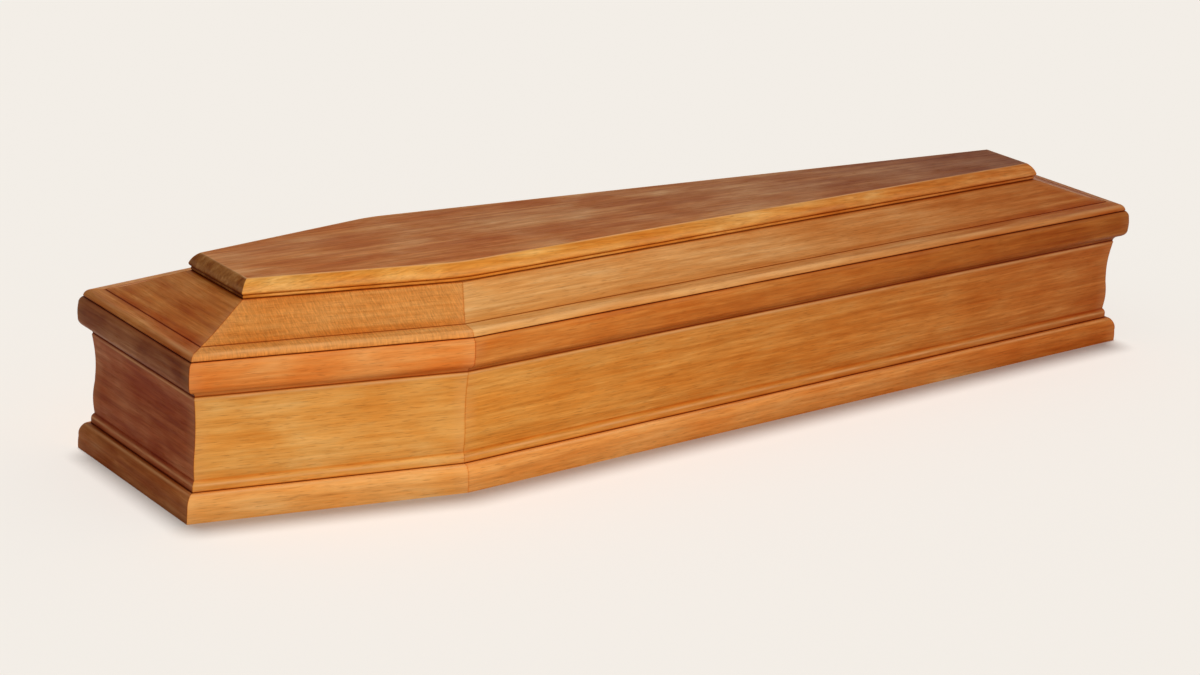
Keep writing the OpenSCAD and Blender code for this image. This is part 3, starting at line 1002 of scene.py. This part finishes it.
class COFFIN_OT_bottom_board(Operator):
    """Build the plain bottom board between the six box boards"""

    bl_idname = "coffin.bottom_board"
    bl_label = "Bottom board"

    def execute(self, context):
        s, c = context.scene.coffin_sizes, context.scene.coffin_colours
        corners = plinth_corners(s)
        eased = np.array([[-1 * MM, 0], [0, 1 * MM], [0, s.bottom - 1 * MM], [-1 * MM, s.bottom]])
        rings = [np.column_stack([
            np.array([moved_corner(corners, i, out - wall(s), out - wall(s)) for i in range(6)]),
            np.full(6, up)]) for out, up in eased]
        verts = np.vstack(rings)
        zeros = np.zeros(len(verts))
        masks = {"hollow": zeros, "proud": zeros, "depth": zeros}
        tone = np.repeat(np.array(c.plain)[None], len(verts), axis=0)
        piece = write_mesh("plain_bottom_board", verts, tube_faces(len(eased), 6), masks, tone,
                           verts + BOTTOM_GRAIN)
        settle(piece, "bottom_board", plain_wood(c))
        return {"FINISHED"}


# ---- operator: the stage ----


FLOOR_HALF = 40.0                          # half the floor's width
KEY_PLACE, KEY_AIM, KEY_SIZE = (-0.55, -2.3, 1.95), (-0.35, -0.1, 0.2), 1.6
FILL_PLACE, FILL_AIM, FILL_SIZE = (-3.6, -0.6, 1.2), (-1.0, 0.0, 0.15), 1.5
BACK_PLACE, BACK_AIM, BACK_SIZE = (0.4, 3.2, 0.7), (0.0, 0.0, 0.15), 2.0
SUN_PLACE, SUN_AIM, SUN_ANGLE = (0.3, 0.75, 5.0), (0.0, 0.0, 0.0), math.radians(14)
CAMERA_PLACE = (-2.9816, -3.8241, 1.6958)
CAMERA_SHIFT = (0.0131, -0.0013)           # frames the coffin a little off the lens's centre
SENSOR_WIDTH = 36.0


def turned_to(place, aim):
    """The matrix of a light at a place that faces a point."""
    back = np.array(place, dtype=float) - np.array(aim, dtype=float)
    back /= np.linalg.norm(back)
    right = np.cross([0.0, 1.0, 0.0], back)
    right /= np.linalg.norm(right)
    turned = np.eye(4)
    turned[:3, :3] = np.stack([right, np.cross(back, right), back], axis=1)
    turned[:3, 3] = place
    return Matrix(turned.tolist())


def hang_light(name, kind, place, aim, power, receivers):
    """A light of a kind at a place, facing a point, for the objects that receivers names."""
    lamp = bpy.data.lights.new(name, kind)
    lamp.energy = power
    light = bpy.data.objects.new(name, lamp)
    light.matrix_world = turned_to(place, aim)
    light.visible_camera = False
    light.light_linking.receiver_collection = receivers
    bpy.context.scene.collection.objects.link(light)
    return light


def pale_share(n):
    """Socket that is 1 for rays that see the pale surroundings and 0 for rays that carry light."""
    path = n.add("ShaderNodeLightPath")
    seen = n.maths("MAXIMUM", path.outputs["Is Camera Ray"], path.outputs["Is Glossy Ray"])
    return n.maths("MAXIMUM", seen, path.outputs["Is Transmission Ray"])


def floor_material(stage):
    """Matt pale floor. It keeps the coffin's shadow, and throws only part of its colour back.

    A small share of its colour glows of itself for the camera, which mutes the wood's warm cast.
    """
    material = bpy.data.materials.new("pale_floor")
    material.use_nodes = True
    n = Nodes(material.node_tree)
    shader = material.node_tree.nodes["Principled BSDF"]
    dim = [channel * stage.bounce for channel in stage.floor]
    lit = [channel * (1 - stage.floor_own) for channel in stage.floor]
    seen = n.blend(pale_share(n), opaque(dim), opaque(lit))
    material.node_tree.links.new(seen, shader.inputs["Base Color"])
    own = n.blend(pale_share(n), opaque([0.0] * 3), opaque(stage.floor))
    material.node_tree.links.new(own, shader.inputs["Emission Color"])
    shader.inputs["Emission Strength"].default_value = stage.floor_own
    shader.inputs["Roughness"].default_value = 1.0
    shader.inputs["Specular IOR Level"].default_value = 0.0
    return material


def lay_floor(stage):
    """A wide flat floor."""
    half = FLOOR_HALF
    mesh = bpy.data.meshes.new("floor")
    mesh.from_pydata([(-half, -half, 0), (half, -half, 0), (half, half, 0), (-half, half, 0)],
                     [], [(0, 1, 2, 3)])
    mesh.materials.append(floor_material(stage))
    floor = bpy.data.objects.new("floor", mesh)
    bpy.context.scene.collection.objects.link(floor)
    return floor


def even_world(stage):
    """The floor's colour all round for the camera, and an even soft light for the coffin."""
    world = bpy.data.worlds.new("even_sky")
    world.use_nodes = True
    n = Nodes(world.node_tree)
    sky = world.node_tree.nodes["Background"]
    dim = [stage.sky] * 3
    seen = n.blend(pale_share(n), opaque(dim), opaque(stage.floor))
    world.node_tree.links.new(seen, sky.inputs["Color"])
    return world


def hang_lights(stage, floor):
    """A key softbox in front, weak fills at the head and behind, and a light for the floor alone.

    The light behind gives no gloss, so that it lays no sheen over the top.
    """
    floor_only = bpy.data.collections.new("floor_only")
    floor_only.objects.link(floor)
    all_but_floor = bpy.data.collections.new("all_but_floor")
    all_but_floor.objects.link(floor)
    all_but_floor.collection_objects[0].light_linking.link_state = "EXCLUDE"
    key = hang_light("key_softbox", "AREA", KEY_PLACE, KEY_AIM, stage.key, all_but_floor)
    key.data.size = KEY_SIZE
    fill = hang_light("head_fill", "AREA", FILL_PLACE, FILL_AIM, stage.fill, all_but_floor)
    fill.data.size = FILL_SIZE
    back = hang_light("back_fill", "AREA", BACK_PLACE, BACK_AIM, stage.back, all_but_floor)
    back.data.size = BACK_SIZE
    back.visible_glossy = False
    sun = hang_light("floor_light", "SUN", SUN_PLACE, SUN_AIM, stage.overhead, floor_only)
    sun.data.angle = SUN_ANGLE


def set_up_camera(stage):
    """The camera, from its heading, dip and roll.

    It looks along (sin turn cos dip, cos turn cos dip, -sin dip), and its level and upright axes
    are then turned about that by the roll.
    """
    camera = bpy.data.cameras.new("camera")
    camera.sensor_width = SENSOR_WIDTH
    camera.lens = stage.lens
    camera.shift_x, camera.shift_y = CAMERA_SHIFT
    camera.clip_end = 200.0
    holder = bpy.data.objects.new("camera", camera)
    bpy.context.scene.collection.objects.link(holder)
    ahead = np.array([math.sin(stage.turn) * math.cos(stage.dip),
                      math.cos(stage.turn) * math.cos(stage.dip), -math.sin(stage.dip)])
    level = np.array([math.cos(stage.turn), -math.sin(stage.turn), 0.0])
    above = np.cross(level, ahead)
    right = math.cos(stage.roll) * level + math.sin(stage.roll) * above
    up = -math.sin(stage.roll) * level + math.cos(stage.roll) * above
    turned = np.eye(4)
    turned[:3, :3] = np.stack([right, up, -ahead], axis=1)
    turned[:3, 3] = CAMERA_PLACE
    holder.matrix_world = Matrix(turned.tolist())
    bpy.context.scene.camera = holder


class COFFIN_OT_stage(Operator):
    """Lay the floor, hang the lights and set up the camera"""

    bl_idname = "coffin.stage"
    bl_label = "Stage"

    def execute(self, context):
        stage = context.scene.coffin_stage
        floor = lay_floor(stage)
        context.scene.world = even_world(stage)
        hang_lights(stage, floor)
        set_up_camera(stage)
        context.scene.view_settings.view_transform = "Standard"
        return {"FINISHED"}


class COFFIN_PT_sidebar(Panel):
    """Lists the coffin's sizes, colours and building steps"""

    bl_idname = "COFFIN_PT_sidebar"
    bl_label = "Wooden coffin"
    bl_space_type = "VIEW_3D"
    bl_region_type = "UI"
    bl_category = "Coffin"

    def draw(self, context):
        layout, scene = self.layout, context.scene
        for operator in STEPS:
            layout.operator(operator.bl_idname)
        for group in (scene.coffin_sizes, scene.coffin_colours, scene.coffin_stage):
            box = layout.box()
            for name in group.__annotations__:
                box.prop(group, name)


STEPS = (COFFIN_OT_stage, COFFIN_OT_bottom_board, COFFIN_OT_boards, COFFIN_OT_base_mouldings,
         COFFIN_OT_rim_mouldings, COFFIN_OT_lid_slopes, COFFIN_OT_top_panel)
CLASSES = (CoffinSizes, CoffinColours, CoffinStage, *STEPS, COFFIN_PT_sidebar)


def register():
    """Registers the classes and hangs the three groups of properties on the scene."""
    for kind in CLASSES:
        bpy.utils.register_class(kind)
    bpy.types.Scene.coffin_sizes = PointerProperty(type=CoffinSizes)
    bpy.types.Scene.coffin_colours = PointerProperty(type=CoffinColours)
    bpy.types.Scene.coffin_stage = PointerProperty(type=CoffinStage)


def unregister():
    """Takes away what register added, in the opposite order."""
    del bpy.types.Scene.coffin_stage
    del bpy.types.Scene.coffin_colours
    del bpy.types.Scene.coffin_sizes
    for kind in reversed(CLASSES):
        bpy.utils.unregister_class(kind)


def main():
    """Registers the add-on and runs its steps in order."""
    register()
    bpy.ops.coffin.stage()
    bpy.ops.coffin.bottom_board()
    bpy.ops.coffin.boards()
    bpy.ops.coffin.base_mouldings()
    bpy.ops.coffin.rim_mouldings()
    bpy.ops.coffin.lid_slopes()
    bpy.ops.coffin.top_panel()


if __name__ == "__main__":
    main()
